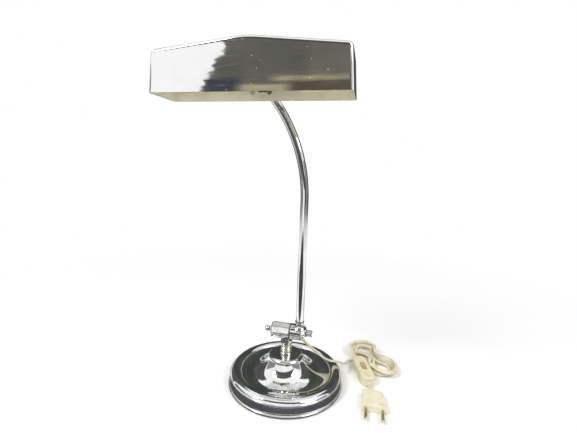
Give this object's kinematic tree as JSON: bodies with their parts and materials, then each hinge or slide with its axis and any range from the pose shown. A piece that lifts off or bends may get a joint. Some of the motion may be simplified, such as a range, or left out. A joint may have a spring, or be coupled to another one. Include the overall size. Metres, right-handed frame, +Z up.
{
  "type": "desk lamp",
  "caption": "Chromed desk lamp: round weighted base, friction knuckle, bent tube arm and a long gabled metal shade that tilts, with a cord, slide switch and flat plug.",
  "frame": {"origin": "middle of the felt underside of the base, on the table", "axes": "+Z up, X along the knuckle's pivot and the shade's length with the ball end at -X, the shade hangs on the -Y side of the arm"},
  "size_m": [0.3032, 0.1951, 0.4161],
  "materials": {
    "chrome": "polished, lightly worn",
    "zinc_steel": "zinc plated",
    "cast_iron": "rough casting",
    "felt": "pressed felt",
    "fibre": "vulcanised fibre",
    "lead_pvc": "plain",
    "bakelite": "moulded",
    "brass": "plain",
    "bulb_glass": "frosted",
    "cord_pvc": "ivory, a little yellowed",
    "ivory": "ivory, a little yellowed",
    "slider_brown": "moulded",
    "pin_brass": "nickel worn to brass"
  },
  "bodies": {
    "base": {"base_shell": "chrome", "base_weight": "cast_iron", "base_felt": "felt", "base_stud": "zinc_steel", "base_washer": "zinc_steel", "base_nut": "zinc_steel", "stem_flange": "chrome", "stem_ring": "chrome", "stem_neck": "chrome", "lower_knuckle": "chrome", "pivot_bolt": "zinc_steel", "cone_washer": "chrome", "ball_finial": "chrome", "friction_washer": "fibre", "pivot_nut": "chrome", "cord_run": "cord_pvc", "cord_hank": "cord_pvc", "cord_link": "cord_pvc", "cord_tail": "cord_pvc", "switch_base": "ivory", "switch_cover": "ivory", "switch_screws": "zinc_steel", "plug_body": "ivory", "plug_pins": "pin_brass"},
    "arm": {"upper_knuckle": "chrome", "cord_bush": "fibre", "arm_tube": "chrome", "arm_lead": "lead_pvc", "arm_eye": "chrome", "hinge_screw": "chrome", "hinge_washer": "fibre"},
    "shade": {"shade_shell": "chrome", "hinge_bracket": "chrome", "bracket_rivets": "chrome", "holder_strip": "zinc_steel", "holder_rivets": "chrome", "holder_body": "bakelite", "holder_ring": "bakelite", "holder_nipple": "zinc_steel", "holder_nut": "zinc_steel", "bulb_cap": "brass", "bulb_glass": "bulb_glass"},
    "slider": {"switch_slider": "slider_brown"}
  },
  "joints": [
    {"name": "arm_tilt", "type": "hinge", "parent": "base", "child": "arm", "pos_m": [0, 0, 0.0704], "axis": [1, 0, 0], "range_deg": [-40, 40]},
    {"name": "shade_tilt", "type": "hinge", "parent": "arm", "child": "shade", "pos_m": [-0.0288, 0, 0.368], "axis": [1, 0, 0], "range_deg": [-70, 15]},
    {"name": "switch_slide", "type": "slide", "parent": "base", "child": "slider", "axis": [0.3, -0.9539, 0], "range_m": [0, 0.005]}
  ]
}
